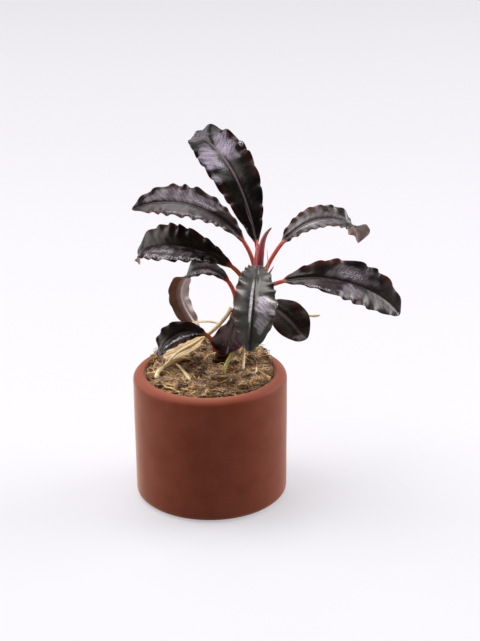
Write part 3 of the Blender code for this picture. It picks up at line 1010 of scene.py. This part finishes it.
    def build(self, stem: Rhizome, finish: Material, slot: Slot) -> Object:
        """Return the leaf as one closed skin, from inside the stem's bark to its tip."""
        length = self.petiole + self.blade
        stalk_rings = max(6, round(self.petiole / 0.5))
        shares = list(np.linspace(0, self.petiole / length, stalk_rings, endpoint=False))
        blade = np.linspace(0, 0.997, self.rings - stalk_rings)
        shares += list((self.petiole + self.blade * blade) / length)
        ts = [-1.0] * stalk_rings + list(blade)
        spots = self.spots(stem, np.array(shares))
        side = radians(self.springs)
        inward = Vector((cos(side), sin(side), 0.0)) * (self.gap + self.stalk)
        spots = [spots[0] - inward - Vector((0, 0, 0.5)), *spots]
        columns = [self.ring(spot, share, t) for spot, share, t in zip(spots, [0.0, *shares], [-1.0, *ts])]
        points, skin, tone, cast = ([row for column in columns for row in column[i]] for i in range(4))
        faces = tube_faces(len(columns), 2 * self.columns - 2)
        piece = mesh_object(self.name + "_skin", np.array([tuple(p) for p in points]), faces, finish)
        for label, values in (("skin", skin), ("tone", tone), ("cast", cast)):
            give_attribute(piece, label, np.array(values))
        return settle(piece, slot, (self.name,))


LEAVES = (
    Leaf("leaf_top", 0.97, 66, 116, 75, 79, 1.28, 12, 27, 8.0, 52.5, 15.4, (19, 29), 1.25, taper=0.65,
        ruffle_mm=5.6, wave=0.8, ragged=0.08, dent_mm=7.5, dent=0.42, look=Look.BLACK, brown=0.6, seed=1.0,
        painted_sheen=((0.66, -0.5, 0.1, 0.42, 0.9), (0.7, 0.42, 0.12, 0.36, 0.85), (0.93, 0.0, 0.08, 0.9, 0.3),
        (0.48, -0.8, 0.05, 0.14, 0.5)), painted_glint=((0.58, -0.3, 0.07, 0.2, 0.18), (0.68, 0.5, 0.03, 0.3, 0.18),
        (0.62, 0.9, 0.015, 0.08, 0.8))),
    Leaf("leaf_upper_left", 0.97, 108, 165, 87, 109, 0.79, 11, 4, 8.5, 42.5, 12.1, (29, 41), 1.32,
        ruffle_mm=4.3, wave=0.7, ragged=0.08, seed=2.3, look=Look.SATIN,
        painted_sheen=((0.62, 0.4, 0.28, 0.4, 0.6), (0.6, -0.5, 0.35, 0.45, 0.12)),
        painted_glint=((0.45, 0.3, 0.1, 0.1, 0.3), (0.6, -0.75, 0.15, 0.08, 0.3))),
    Leaf("leaf_middle_left", 0.87, 170, 174, 76, 107, 0.51, -41, 77, 4.2, 43.5, 13.4, (57, 34), 1.42,
        ruffle_mm=4.4, ragged=0.09, look=Look.DARK, seed=3.1, painted_sheen=((0.6, -0.55, 0.22, 0.35, 0.4),),
        painted_glint=((0.5, -0.8, 0.3, 0.12, 0.5), (0.6, -0.45, 0.1, 0.08, 0.5))),
    Leaf("leaf_curled_left", 0.65, 142, 143, 78, 248, 1.03, 28, -49, 5.3, 40.0, 7.6, (46, 36), 1.35,
        taper=0.5, twist=-84, twist_from=0.36, ruffle_mm=4.6, wave=0.5, ragged=0.09, look=Look.CURLED,
        seed=4.2, painted_sheen=((0.22, 0.2, 0.2, 0.9, 0.5),), painted_glint=((0.25, -0.5, 0.14, 0.2, 0.6),)),
    Leaf("leaf_lower_left", 0.16, 205, 214, 88, 184, 0.92, -47, 15, 6.0, 23.8, 9.0, (64, 11), 1.35,
        ruffle_mm=3.6, wave=0.6, ragged=0.09, look=Look.DARK, seed=5.7,
        painted_sheen=((0.9, 0.1, 0.14, 0.8, 0.45),), painted_glint=((0.45, -0.45, 0.3, 0.1, 0.55),)),
    Leaf("leaf_front", 0.85, -82, -81, 69, 152, 0.96, -24, -11, 14.2, 39.7, 13.2, (4, 34), 1.62, taper=0.65,
        ruffle_mm=3.9, wave=0.6, dent=0.25, dent_mm=7.0, look=Look.PALE, seed=6.6, brown=0.45,
        painted_sheen=((0.62, -0.5, 0.06, 0.45, 0.8), (0.76, -0.45, 0.09, 0.3, 0.35),
        (0.62, 0.15, 0.17, 0.06, 0.9), (0.25, -0.12, 0.12, 0.05, 0.6)),
        painted_glint=((0.6, -0.45, 0.03, 0.25, 0.4), (0.62, 0.18, 0.1, 0.03, 0.5))),
    Leaf("leaf_front_low", 0.57, -95, -106, 30, 82, 0.43, -1, 0, 3.0, 15.1, 11.2, (-1, -11), 2.38,
        taper=0.45, wave=0.3, ruffle_mm=6.0, ragged=0.02, rise=6.0, dent=0.1, look=Look.MAROON, seed=7.4,
        painted_sheen=((0.62, -0.2, 0.3, 0.6, 0.2),), painted_glint=((0.2, -0.2, 0.06, 0.2, 0.8),)),
    Leaf("leaf_upper_right", 0.94, 24, 38, 58, 122, 1.46, -26, 45, 11.6, 35.0, 9.4, (-19, -41), 0.92,
        ruffle_mm=3.3, wave=0.6, seed=8.8, twist=90, bulge=(0.9, 0.06, 1.2),
        painted_sheen=((0.4, 0.0, 0.3, 0.7, 0.5),), painted_glint=((0.3, 0.3, 0.15, 0.08, 0.4),)),
    Leaf("leaf_middle_right", 0.75, -3, -2, 36, 86, 0.8, 19, 8, 8.9, 44.4, 13.9, (-33, -68), 1.18,
        taper=0.62, ruffle_mm=5.6, wave=0.8, ragged=0.09, look=Look.SATIN, seed=9.5,
        painted_sheen=((0.52, -0.4, 0.17, 0.4, 0.35), (0.52, 0.5, 0.1, 0.35, 0.65)),
        painted_glint=((0.5, -0.3, 0.08, 0.2, 0.3), (0.25, 0.8, 0.08, 0.08, 0.5), (0.99, 0.2, 0.015, 0.5, 1.0))),
    Leaf("leaf_lower_right", 0.65, -35, -37, 46, 85, 0.42, -14, -30, 6.8, 19.3, 11.2, (-34, -46), 1.16,
        taper=0.55, wave=0.25, ruffle_mm=7.0, ragged=0.02, dent=0.08, rise=8.0, look=Look.DARK, seed=10.9,
        painted_sheen=((0.95, 0.5, 0.12, 0.5, 0.4),), painted_glint=((0.12, -0.2, 0.08, 0.5, 0.6),)),
)

WITHERED = Leaf("withered_leaf", 0.57, 165, 178, -64, -50, 0.8, 10, 0, 12.5, 16.0, 6.8, (12, 20), 1.1,
    taper=0.5, stalk=0.66, wave=0.35, rise=10.0, ruffle_mm=5.0, dent=0.2, dent_mm=5.0, thickness=0.3,
    seed=12.0)


@dataclass(frozen=True)
class Strand:
    """A shoot, a root or a dry strip: a strand through a few places; sizes in millimetres."""

    name: str
    places: tuple
    radii: Pair
    finish: StemTissue
    slot: Slot
    node: bool = True
    flatness: float = 1.0
    knobs: float = 0.12
    belly: float = 1.0

    def path(self, steps: int = 10) -> list[Vector]:
        """Places along a smooth curve through the given ones."""
        spots = [Vector(spot) for spot in self.places]
        padded = [2 * spots[0] - spots[1], *spots, 2 * spots[-1] - spots[-2]]
        made = []
        for before, start, end, after in zip(padded, padded[1:], padded[2:], padded[3:]):
            for i in range(steps):
                t = i / steps
                made.append(0.5 * (2 * start + (end - before) * t + (2 * before - 5 * start + 4 * end
                    - after) * t ** 2 + (3 * start - before - 3 * end + after) * t ** 3))
        return made + [spots[-1]]

    def build(self, tree: NodeTree, seed: int) -> Object:
        """Grow the strand along its path.

        Args:
            tree: the strand layout.
            seed: number that its knobs follow.

        Returns:
            The strand as one mesh piece.
        """
        curve = bpy.data.curves.new(self.name + "_path", "CURVE")
        curve.dimensions = "3D"
        line = curve.splines.new("POLY")
        path = self.path()
        line.points.add(len(path) - 1)
        for point, spot in zip(line.points, path):
            point.co = (*(spot * MM), 1.0)
        values = {"Start Radius": self.radii[0] * MM, "End Radius": self.radii[1] * MM, "Belly": self.belly,
            "Flatness": self.flatness, "Knobs": self.knobs, "Seed": float(seed),
            "Tissue": self.finish.build()}
        made = settle(grown(self.name + "_flesh", curve, tree, values), self.slot,
            (self.name,) if self.node else ())
        bpy.data.curves.remove(curve)
        return made


def strand_tree() -> NodeTree:
    """Return the node tree that turns a path into a tapering, knobbly strand with a rounded end."""
    numbers = dict.fromkeys(("Start Radius", "End Radius", "Belly", "Flatness", "Knobs", "Seed"), "Float")
    made, given = start_layout("strand_layout", {"Path": "Geometry", **numbers, "Tissue": "Material"},
        "Strand")
    fine = add(made, "GeometryNodeResampleCurve", {"Curve": given["Path"], "Length": 0.25 * MM},
        mode="LENGTH")
    way = add(made, "GeometryNodeSplineParameter").outputs
    marked = add(made, "GeometryNodeStoreNamedAttribute", {"Geometry": fine, "Name": "along",
        "Value": way["Factor"]})
    where = add(made, "GeometryNodeInputPosition")
    bumps = add(made, "TexNoise", {"Vector": where, "W": given["Seed"], "Scale": 1 / (1.6 * MM)},
        noise_dimensions="4D")
    swell = add(made, "Math", (bumps, 0.5), operation="SUBTRACT")
    knobs = add(made, "Math", (swell, given["Knobs"]), operation="MULTIPLY")
    around = add(made, "Math", (knobs, 4.0, 1.0), operation="MULTIPLY_ADD")
    bellied = add(made, "Math", (way["Factor"], given["Belly"]), operation="POWER")
    taper = add(made, "MapRange", (bellied, 0.0, 1.0, given["Start Radius"], given["End Radius"]))
    total = add(made, "GeometryNodeSplineLength")
    left = add(made, "Math", (total, way["Length"]), operation="SUBTRACT")
    rounded = add(made, "MapRange", (left, 0.0, 0.6 * MM, 0.25), interpolation_type="SMOOTHERSTEP")
    wide = add(made, "Math", (taper, around), operation="MULTIPLY")
    size = add(made, "Math", (wide, rounded), operation="MULTIPLY")
    ring = add(made, "GeometryNodeCurvePrimitiveCircle", {"Resolution": 14})
    squashed = add(made, "CombineXYZ", (1.0, given["Flatness"], 1.0))
    flat = add(made, "GeometryNodeTransform", {"Geometry": ring, "Scale": squashed})
    tube = add(made, "GeometryNodeCurveToMesh", {"Curve": marked, "Profile Curve": flat, "Scale": size,
        "Fill Caps": True})
    end_layout(made, tube, given["Tissue"], "Strand")
    return made


CRIMSON = StemTissue("crimson_shoot", "#5e0a12", "#9c3140", "#8b5f58")
PINK = StemTissue("pink_shoot", "#a8473c", "#c8695c", "#d98f80")
PALE = StemTissue("pale_spike", "#c9704a", "#d9a184", "#e6c8b4")
BRACT = StemTissue("dark_bract", "#3a1412", "#6a2a26", "#c07068")
STRAW = StemTissue("dry_strip", "#d8b87e", "#ecdcb4", "#e2cc9a", roughness=0.5)
BEIGE = StemTissue("beige_root", "#b0905c", "#d0b47e", "#ead9ae")
GREEN = StemTissue("green_root", "#6a5320", "#8f8436", "#a59a4a")
WHITE = StemTissue("white_root", "#b0a07c", "#cfc4a6", "#e0d8c0")
ORANGE = StemTissue("orange_root", "#8a4a1c", "#b4713a", "#c48a54")
MOSS = StemTissue("golden_moss", "#8f7140", "#d0ac6a", "#a98a52", roughness=0.55)

STRANDS = (
    Strand("shoot_rolled_leaf", ((16.3, 5.0, 76.0), (16.6, 5.1, 80.0), (17.3, 5.2, 84.5), (18.6, 5.2, 87.6),
        (20.2, 5.0, 89.6)), (1.2, 0.2), CRIMSON, Slot.SHOOT, knobs=0.02, belly=2.2),
    Strand("shoot_pink_blade", ((14.7, 2.6, 75.4), (14.9, 2.4, 79.0), (15.6, 2.3, 86.6)), (0.75, 0.12),
        PINK, Slot.SHOOT, flatness=0.5, knobs=0.02, belly=1.6),
    Strand("shoot_pale_spike", ((18.6, 4.0, 75.6), (18.9, 3.9, 78.5), (18.6, 3.8, 83.0)), (0.35, 0.1), PALE,
        Slot.SHOOT, flatness=0.6, knobs=0.02),
    Strand("shoot_dark_bract", ((18.3, 2.3, 73.6), (19.3, 1.9, 75.2), (20.9, 1.6, 77.9)), (0.8, 0.12),
        BRACT, Slot.SHOOT, flatness=0.5, knobs=0.02, belly=1.6),
    Strand("withered_strip", ((3.7, 6.9, 54.8), (2.9, 11.4, 54.1), (0.4, 13.4, 54.1), (-3.0, 12.6, 54.5),
        (-5.6, 9.9, 54.9), (-4.2, 7.2, 54.7), (-2.0, 5.2, 53.9)), (0.55, 1.25), STRAW, Slot.WITHERED,
        flatness=0.45, belly=2.6),
    Strand("root_thick", ((-6.4, 5.6, 44.2), (-9.2, 4.6, 44.6), (-12.4, 2.6, 44.1), (-15.6, -0.6, 43.5),
        (-16.9, -3.4, 43.0), (-17.0, -6.2, 42.6)), (0.62, 0.82), BEIGE, Slot.ROOT),
    Strand("root_slender", ((-11.3, 2.0, 44.0), (-10.4, 0.3, 44.2), (-9.4, -1.7, 44.2), (-7.6, -6.6, 44.0),
        (-6.3, -9.9, 43.4)), (0.42, 0.5), BEIGE, Slot.ROOT),
    Strand("root_green", ((7.5, 0.5, 51.5), (7.2, -0.2, 48.6), (6.0, -1.6, 46.8), (4.9, -3.5, 45.0),
        (4.3, -5.4, 43.1)), (0.6, 0.65), GREEN, Slot.ROOT),
    Strand("root_right", ((10.7, 3.4, 55.0), (10.9, 3.6, 51.5), (11.0, 2.6, 47.5), (10.9, 0.8, 45.2),
        (10.7, -1.8, 43.2)), (0.45, 0.5), BEIGE, Slot.ROOT),
    Strand("root_arc", ((6.2, 1.2, 43.2), (7.6, -1.9, 43.9), (9.4, -1.3, 44.0), (9.7, 1.6, 43.9)),
        (0.28, 0.25), ORANGE, Slot.ROOT),
    Strand("root_hook", ((12.0, -1.7, 43.3), (13.5, -5.3, 43.6), (14.9, -4.4, 43.9), (15.0, -0.9, 43.9)),
        (0.32, 0.27), WHITE, Slot.ROOT),
    Strand("withered_midrib", ((-0.6, 4.5, 53.2), (-3.9, 4.4, 51.1), (-6.9, 4.1, 49.4), (-9.6, 3.7, 48.0),
        (-11.6, 2.9, 46.5), (-13.4, 1.5, 45.0), (-15.2, -0.3, 43.9)), (0.55, 0.6), STRAW, Slot.WITHERED,
        node=False, flatness=0.8),
    Strand("fine_root_behind", ((10.2, 5.4, 60.0), (14.0, 8.0, 60.2), (20.0, 10.0, 59.6),
        (28.0, 10.2, 58.2), (33.0, 9.5, 57.4), (36.0, 9.0, 57.8)), (0.32, 0.42), BEIGE, Slot.ROOT,
        node=False, knobs=0.3),
    Strand("moss_ribbon_front", ((-14.5, -9.5, 42.2), (-12.5, -12.0, 42.9), (-10.0, -13.0, 42.3),
        (-7.5, -15.5, 42.8), (-4.5, -15.8, 42.3), (-1.5, -17.5, 42.4)), (0.5, 0.35), MOSS, Slot.WOOL,
        node=False, flatness=0.45, knobs=0.3),
    Strand("moss_ribbon_left", ((-17.0, -7.5, 42.0), (-15.2, -9.4, 42.8), (-13.9, -12.0, 42.2),
        (-11.5, -14.6, 42.7), (-9.3, -16.8, 42.0)), (0.45, 0.35), MOSS, Slot.WOOL, node=False,
        flatness=0.45, knobs=0.3),
    Strand("moss_ribbon_middle", ((-9.0, -9.8, 42.6), (-6.5, -11.5, 43.2), (-4.0, -11.4, 42.6),
        (-1.0, -13.2, 43.0), (1.5, -13.0, 42.4)), (0.45, 0.3), MOSS, Slot.WOOL, node=False, flatness=0.45,
        knobs=0.3),
)

MATS = (
    FibreMat("brown_fibres", WoolFibre("brown_wool_fibre", "#52331d", "#cf9f68"), 1900, 6.8, 0.23, 5.0,
        0.25, 3),
    FibreMat("golden_fibres", WoolFibre("golden_wool_fibre", "#8a5b26", "#f6d190"), 750, 7.4, 0.24, 5.4,
        0.4, 5),
    FibreMat("grey_fibres", WoolFibre("grey_wool_fibre", "#684d3c", "#e8cba6"), 2900, 6.6, 0.11, 5.4, 0.5,
        9),
)


@dataclass(frozen=True)
class Softbox:
    """One soft studio lamp; places and sizes in metres."""

    name: str
    place: Triple
    size: Pair
    power: float
    aim: Triple = (0.0, 0.0, 0.06)

    def build(self) -> Object:
        """Return the lamp, aimed at the plant."""
        data = bpy.data.lights.new(self.name, "AREA")
        data.shape = "RECTANGLE"
        data.size, data.size_y = self.size
        data.energy = self.power
        lamp = linked(self.name, data)
        lamp.location = self.place
        lamp.rotation_mode = "QUATERNION"
        lamp.rotation_quaternion = (Vector(self.aim) - Vector(self.place)).to_track_quat("-Z", "Y")
        return lamp


@dataclass
class Studio:
    """A pale floor in a white tent that is open, and so dark, on the camera's side."""

    floor_side: float = 6.0
    lens: float = 103.9
    sensor: float = 36.0
    camera_place: Triple = (0.00987, -0.55028, 0.28219)
    tilt: float = 22.0
    lean: float = -0.5
    softboxes: tuple[Softbox, ...] = (
        Softbox("top_softbox", (-0.15, 0.12, 1.1), (1.1, 0.8), 16.0),
        Softbox("left_softbox", (-1.1, 0.3, 0.4), (0.9, 0.6), 11.5),
        Softbox("right_softbox", (1.1, 0.3, 0.4), (0.9, 0.6), 15.0),
    )

    def build_floor(self) -> Object:
        """Return the floor that the pot stands on: acrylic lit from below, which keeps shadows light."""
        half = self.floor_side * 500
        rows = np.array([(-half, -half, -0.05), (half, -half, -0.05), (half, half, -0.05),
            (-half, half, -0.05)])
        made, tree, shader = plain_material("lit_acrylic_floor")
        where = add(tree, "SeparateXYZ", (add(tree, "TexCoord").outputs["Object"],)).outputs
        away = add(tree, "MapRange", (where["Y"], 0.05, 0.4))
        shade = add(tree, "Mix", {FACTOR: away, COLOUR_A: (0.28, 0.271, 0.289, 1.0),
            COLOUR_B: (0.245, 0.234, 0.252, 1.0)}, data_type="RGBA")
        feed(tree, shader, {"Base Color": shade, "Emission Color": (1.0, 0.985, 1.02, 1.0),
            "Emission Strength": 0.445, "Roughness": 0.9, "Specular IOR Level": 0.1})
        floor = mesh_object("studio_floor", rows, [(0, 1, 2, 3)], made)
        return floor

    def build_world(self) -> None:
        """Light the scene from above, behind and the sides, and leave the camera's side dark."""
        world = bpy.data.worlds.new("light_tent")
        bpy.context.scene.world = world
        world.use_nodes = True
        tree = world.node_tree
        back = tree.nodes["Background"]
        way = add(tree, "SeparateXYZ", (add(tree, "TexCoord").outputs["Generated"],)).outputs
        lifted = add(tree, "Math", (way["Z"], 0.2, way["Y"]), operation="MULTIPLY_ADD")
        open_side = add(tree, "MapRange", (lifted, -0.1, 0.5, 0.09, 0.7), interpolation_type="SMOOTHSTEP")
        feed(tree, back, {"Strength": open_side, "Color": (1.0, 0.985, 1.0, 1.0)})

    def build_camera(self) -> Object:
        """Return the camera, at the photograph's angle."""
        data = bpy.data.cameras.new("camera")
        data.lens, data.sensor_width = self.lens, self.sensor
        camera = linked("camera", data)
        tilt, lean = radians(self.tilt), radians(self.lean)
        ahead = Vector((0, cos(tilt), -sin(tilt)))
        level_up, level_right = Vector((0, sin(tilt), cos(tilt))), Vector((1, 0, 0))
        right = level_right * cos(lean) + level_up * sin(lean)
        up = level_up * cos(lean) - level_right * sin(lean)
        turned = Matrix((right, up, -ahead)).transposed().to_4x4()
        turned.translation = Vector(self.camera_place)
        camera.matrix_world = turned
        bpy.context.scene.camera = camera
        return camera

    def build(self) -> None:
        """Build floor, lamps, surroundings and camera."""
        self.build_camera()
        self.build_floor()
        self.build_world()
        for softbox in self.softboxes:
            softbox.build()
        bpy.context.scene.view_settings.view_transform = "Standard"
        log.info("studio: %d softboxes", len(self.softboxes))


def main() -> None:
    """Build the studio and every piece in order."""
    logging.basicConfig(level=logging.INFO, format="%(name)s: %(message)s")
    Studio().build()
    Pot().build()
    wool = Wool()
    ground = wool.build_plug()
    for mat in MATS:
        mat.build(ground, pi * (wool.radius * MM) ** 2)
    stem = Rhizome()
    stem.build()
    skins = {look: look.value.build() for look in Look}
    for leaf in LEAVES:
        leaf.build(stem, skins[leaf.look], Slot.LEAF)
    WITHERED.build(stem, DryTissue().build(), Slot.WITHERED)
    layout = strand_tree()
    for number, strand in enumerate(STRANDS):
        strand.build(layout, number)


if __name__ == "__main__":
    main()
